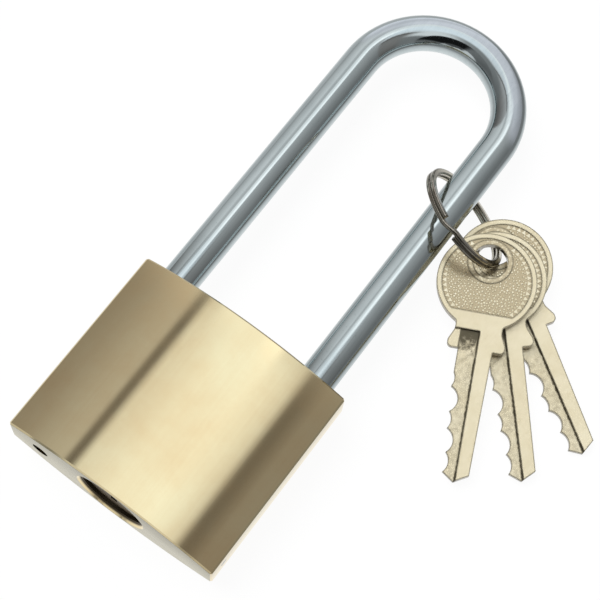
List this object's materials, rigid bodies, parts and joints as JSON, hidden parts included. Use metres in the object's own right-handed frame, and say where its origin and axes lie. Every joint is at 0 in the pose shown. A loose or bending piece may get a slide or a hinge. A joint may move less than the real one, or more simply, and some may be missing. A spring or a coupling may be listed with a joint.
{
  "type": "long-shackle padlock with keys",
  "caption": "Brass padlock with a tall round steel shackle, pin-tumbler cylinder in its bottom face, and matching keys on a split ring.",
  "frame": {"origin": "centre of the body's bottom face, on the cylinder's axis, where the key goes in", "axes": "the lock lies on its back: +Y from the bottom face to the arch, +Z out of the front face, +X towards the toe of the shackle"},
  "size_m": [0.0946, 0.1308, 0.0204],
  "materials": {
    "body_brass": "brushed along the height, satin",
    "plug_brass": "turned",
    "pin_brass": "turned, polished",
    "shackle_chrome": "plated, polished",
    "hardened_steel": "ground",
    "spring_wire": "drawn wire",
    "ring_steel": "plated spring steel",
    "key_nickel": "satin nickel plate"
  },
  "bodies": {
    "lock_body": {"body": "body_brass", "bolt_bore_cap": "body_brass", "heel_pin": "hardened_steel", "plug_pin": "hardened_steel", "bolt_spring": "spring_wire", "shackle_spring": "spring_wire", "pin_spring_1": "spring_wire", "pin_spring_2": "spring_wire", "pin_spring_3": "spring_wire", "pin_spring_4": "spring_wire", "pin_spring_5": "spring_wire", "chamber_cap_1": "body_brass", "chamber_cap_2": "body_brass", "chamber_cap_3": "body_brass", "chamber_cap_4": "body_brass", "chamber_cap_5": "body_brass"},
    "cylinder_plug": {"plug": "plug_brass"},
    "locking_bolt": {"bolt": "hardened_steel"},
    "shackle_bar": {"shackle": "shackle_chrome"},
    "driver_1": {"driver_pin_1": "pin_brass"},
    "driver_2": {"driver_pin_2": "pin_brass"},
    "driver_3": {"driver_pin_3": "pin_brass"},
    "driver_4": {"driver_pin_4": "pin_brass"},
    "driver_5": {"driver_pin_5": "pin_brass"},
    "tumbler_1": {"key_pin_1": "pin_brass"},
    "tumbler_2": {"key_pin_2": "pin_brass"},
    "tumbler_3": {"key_pin_3": "pin_brass"},
    "tumbler_4": {"key_pin_4": "pin_brass"},
    "tumbler_5": {"key_pin_5": "pin_brass"},
    "ring": {"split_ring": "ring_steel"},
    "first_key": {"key_1": "key_nickel"},
    "second_key": {"key_2": "key_nickel"},
    "third_key": {"key_3": "key_nickel"}
  },
  "joints": [
    {"name": "plug_turn", "type": "hinge", "parent": "lock_body", "child": "cylinder_plug", "pos_m": [0, 0, 0], "axis": [0, 1, 0], "range_deg": [-90, 0]},
    {"name": "bolt_slide", "type": "slide", "parent": "lock_body", "child": "locking_bolt", "axis": [1, 0, 0], "range_m": [0, 0.00354], "deforming": ["bolt_spring"]},
    {"name": "shackle_lift", "type": "slide", "parent": "lock_body", "child": "shackle_bar", "axis": [0, 1, 0], "range_m": [0, 0.0135], "deforming": ["shackle_spring"]},
    {"name": "driver_slide_1", "type": "slide", "parent": "lock_body", "child": "driver_1", "axis": [1, 0, 0], "range_m": [0, 0.0012], "stiffness_N_per_m": 100, "springref_m": -0.004, "deforming": ["pin_spring_1"]},
    {"name": "driver_slide_2", "type": "slide", "parent": "lock_body", "child": "driver_2", "axis": [1, 0, 0], "range_m": [0, 0.0012], "stiffness_N_per_m": 100, "springref_m": -0.004, "deforming": ["pin_spring_2"]},
    {"name": "driver_slide_3", "type": "slide", "parent": "lock_body", "child": "driver_3", "axis": [1, 0, 0], "range_m": [0, 0.0012], "stiffness_N_per_m": 100, "springref_m": -0.004, "deforming": ["pin_spring_3"]},
    {"name": "driver_slide_4", "type": "slide", "parent": "lock_body", "child": "driver_4", "axis": [1, 0, 0], "range_m": [0, 0.0012], "stiffness_N_per_m": 100, "springref_m": -0.004, "deforming": ["pin_spring_4"]},
    {"name": "driver_slide_5", "type": "slide", "parent": "lock_body", "child": "driver_5", "axis": [1, 0, 0], "range_m": [0, 0.0012], "stiffness_N_per_m": 100, "springref_m": -0.004, "deforming": ["pin_spring_5"]},
    {"name": "key_pin_slide_1", "type": "slide", "parent": "cylinder_plug", "child": "tumbler_1", "axis": [0, 0, 1], "range_m": [0, 0.0012]},
    {"name": "key_pin_slide_2", "type": "slide", "parent": "cylinder_plug", "child": "tumbler_2", "axis": [0, 0, 1], "range_m": [0, 0.0012]},
    {"name": "key_pin_slide_3", "type": "slide", "parent": "cylinder_plug", "child": "tumbler_3", "axis": [0, 0, 1], "range_m": [0, 0.0012]},
    {"name": "key_pin_slide_4", "type": "slide", "parent": "cylinder_plug", "child": "tumbler_4", "axis": [0, 0, 1], "range_m": [0, 0.0012]},
    {"name": "key_pin_slide_5", "type": "slide", "parent": "cylinder_plug", "child": "tumbler_5", "axis": [0, 0, 1], "range_m": [0, 0.0012]},
    {"name": "ring_swing", "type": "hinge", "parent": "shackle_bar", "child": "ring", "pos_m": [0.01755, 0.0924, 0], "axis": [0, -1, 0], "range_deg": [0, 150]},
    {"name": "key_1_swing", "type": "hinge", "parent": "ring", "child": "first_key", "pos_m": [0.03103, 0.08839, -0.0022], "axis": [0, -0.1219, 0.9925], "range_deg": [-15, 60]},
    {"name": "key_2_swing", "type": "hinge", "parent": "ring", "child": "second_key", "pos_m": [0.03129, 0.09011, -0.00413], "axis": [0, -0.1219, 0.9925], "range_deg": [-28, 50]},
    {"name": "key_3_swing", "type": "hinge", "parent": "ring", "child": "third_key", "pos_m": [0.02981, 0.0931, -0.0059], "axis": [0, -0.1219, 0.9925], "range_deg": [-42, 35]}
  ],
  "couplings": [
    {"joint": "plug_turn", "follows": "bolt_slide", "rad_per_m": -444.29}
  ]
}
